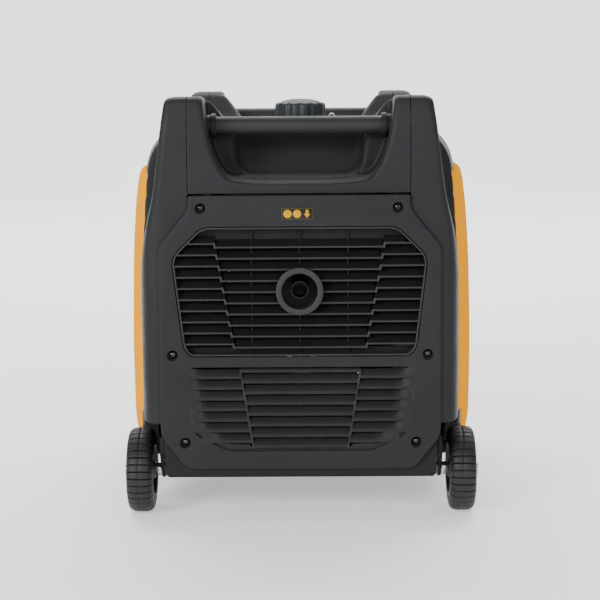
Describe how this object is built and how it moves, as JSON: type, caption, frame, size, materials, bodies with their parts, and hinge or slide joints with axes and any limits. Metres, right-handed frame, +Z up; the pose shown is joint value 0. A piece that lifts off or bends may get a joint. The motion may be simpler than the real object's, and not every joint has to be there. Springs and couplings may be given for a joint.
{
  "type": "portable inverter generator",
  "caption": "Wheeled inverter generator: four corner towers joined by carry bars, louvred exhaust end, bulged side panels, telescoping pull handle and a socket panel.",
  "frame": {"origin": "centre of the bounding box's footprint on the ground, midway between the exhaust end and the pull-handle end", "axes": "+Z up, +Y from the exhaust end to the control-panel end, +X to the right of a viewer who looks at the exhaust end"},
  "size_m": [0.448, 0.552, 0.511],
  "materials": {
    "shell_plastic": "fine moulded grain, satin",
    "yellow_plastic": "satin moulded plastic",
    "trim_plastic": "fine grain",
    "base_paint": "powder coat",
    "bar_paint": "satin powder coat",
    "cap_plastic": "matte",
    "black_oxide": "glossy black",
    "plate_black": "gloss",
    "heat_steel": "heat dulled",
    "cast_alloy": "as cast",
    "bright_steel": "machined",
    "zinc_steel": "zinc plated",
    "foot_rubber": "moulded",
    "tyre_rubber": "moulded tread",
    "rim_plastic": "moulded",
    "winding": "varnished copper",
    "tank_plastic": "moulded",
    "lens_clear": "clear",
    "display_dark": "gloss",
    "red_plastic": "gloss",
    "green_plastic": "gloss",
    "grey_plastic": "satin"
  },
  "bodies": {
    "chassis": {"base_tray": "base_paint", "left_side_frame": "shell_plastic", "right_side_frame": "shell_plastic", "top_cover": "shell_plastic", "rear_cover": "shell_plastic", "outlet_grille": "shell_plastic", "front_cover": "shell_plastic", "control_panel": "trim_plastic", "left_side_panel": "yellow_plastic", "right_side_panel": "yellow_plastic", "rear_carry_bar": "bar_paint", "front_carry_bar": "bar_paint", "bar_collars": "trim_plastic", "cover_screws": "black_oxide", "rear_label": "plate_black", "exhaust_pipe": "heat_steel", "muffler": "heat_steel", "engine_block": "cast_alloy", "crank_bearings": "bright_steel", "cylinder_head": "cast_alloy", "carburettor": "cast_alloy", "air_filter_box": "tank_plastic", "alternator_stator": "winding", "recoil_housing": "base_paint", "recoil_bezel": "trim_plastic", "fuel_tank": "tank_plastic", "tether_eye": "zinc_steel", "fuel_gauge_bezel": "trim_plastic", "fuel_gauge_lens": "lens_clear", "inverter_module": "cast_alloy", "battery": "trim_plastic", "wheel_brackets": "base_paint", "axle_bolts": "zinc_steel", "rubber_feet": "foot_rubber", "handle_guides": "zinc_steel", "ac_sockets": "trim_plastic", "dc_panel_group": "trim_plastic", "display_lens": "display_dark"},
    "left_wheel": {"left_tyre": "tyre_rubber", "left_rim": "rim_plastic"},
    "right_wheel": {"right_tyre": "tyre_rubber", "right_rim": "rim_plastic"},
    "fuel_cap": {"fuel_cap": "cap_plastic", "fuel_cap_insert": "trim_plastic"},
    "pull_handle": {"pull_handle_tubes": "bar_paint", "pull_handle_grip": "trim_plastic"},
    "release_button": {"release_button": "grey_plastic"},
    "recoil_grip": {"recoil_grip": "trim_plastic"},
    "recoil_pulley": {"recoil_pulley": "trim_plastic"},
    "engine_rotor": {"crankshaft": "bright_steel", "flywheel_rotor": "cast_alloy", "cooling_fan": "trim_plastic"},
    "engine_switch": {"engine_switch": "red_plastic"},
    "eco_rocker": {"eco_rocker": "trim_plastic"},
    "start_button": {"start_button": "green_plastic"},
    "ac_breaker": {"ac_breaker": "black_oxide"},
    "left_socket_lid": {"left_socket_lid": "trim_plastic"},
    "right_socket_lid": {"right_socket_lid": "trim_plastic"},
    "fuel_gauge_needle": {"fuel_gauge_needle": "red_plastic"}
  },
  "joints": [
    {"name": "left_wheel_spin", "type": "hinge", "parent": "chassis", "child": "left_wheel", "pos_m": [-0.1972, -0.205, 0.052], "axis": [1, 0, 0], "continuous": true},
    {"name": "right_wheel_spin", "type": "hinge", "parent": "chassis", "child": "right_wheel", "pos_m": [0.1972, -0.205, 0.052], "axis": [1, 0, 0], "continuous": true},
    {"name": "fuel_cap_turn", "type": "hinge", "parent": "chassis", "child": "fuel_cap", "pos_m": [0, 0.01, 0.48], "axis": [0, 0, 1], "range_deg": [0, 90]},
    {"name": "pull_handle_slide", "type": "slide", "parent": "chassis", "child": "pull_handle", "axis": [0, 1, 0], "range_m": [0, 0.36]},
    {"name": "release_button_press", "type": "slide", "parent": "pull_handle", "child": "release_button", "axis": [0, -1, 0], "range_m": [0, 0.003], "stiffness_N_per_m": 500, "springref_m": -0.002},
    {"name": "recoil_grip_pull", "type": "slide", "parent": "chassis", "child": "recoil_grip", "axis": [-1, 0, 0], "range_m": [0, 0.45], "stiffness_N_per_m": 25, "springref_m": -0.1},
    {"name": "recoil_pulley_turn", "type": "hinge", "parent": "chassis", "child": "recoil_pulley", "pos_m": [0, 0.161, 0.158], "axis": [0, -1, 0], "range_deg": [-10, 812]},
    {"name": "engine_rotor_spin", "type": "hinge", "parent": "chassis", "child": "engine_rotor", "pos_m": [0, 0.02, 0.158], "axis": [0, 1, 0], "continuous": true},
    {"name": "engine_switch_turn", "type": "hinge", "parent": "chassis", "child": "engine_switch", "pos_m": [0.102, 0.231, 0.292], "axis": [0, 1, 0], "range_deg": [0, 90]},
    {"name": "eco_rocker_tip", "type": "hinge", "parent": "chassis", "child": "eco_rocker", "pos_m": [-0.1, 0.227, 0.23], "axis": [1, 0, 0], "range_deg": [0, 18]},
    {"name": "start_button_press", "type": "slide", "parent": "chassis", "child": "start_button", "axis": [0, -1, 0], "range_m": [0, 0.003], "stiffness_N_per_m": 400, "springref_m": -0.002},
    {"name": "ac_breaker_press", "type": "slide", "parent": "chassis", "child": "ac_breaker", "axis": [0, -1, 0], "range_m": [0, 0.003]},
    {"name": "left_socket_lid_lift", "type": "hinge", "parent": "chassis", "child": "left_socket_lid", "pos_m": [-0.062, 0.2338, 0.199], "axis": [1, 0, 0], "range_deg": [0, 110], "stiffness_Nm_per_rad": 0.02, "springref_deg": -22.92},
    {"name": "right_socket_lid_lift", "type": "hinge", "parent": "chassis", "child": "right_socket_lid", "pos_m": [0.062, 0.2338, 0.199], "axis": [1, 0, 0], "range_deg": [0, 110], "stiffness_Nm_per_rad": 0.02, "springref_deg": -22.92},
    {"name": "fuel_gauge_needle_turn", "type": "hinge", "parent": "chassis", "child": "fuel_gauge_needle", "pos_m": [0.076, 0.042, 0.4535], "axis": [0, 0, 1], "range_deg": [-60, 60]}
  ],
  "couplings": [
    {"joint": "recoil_pulley_turn", "follows": "recoil_grip_pull", "rad_per_m": 31.25}
  ]
}
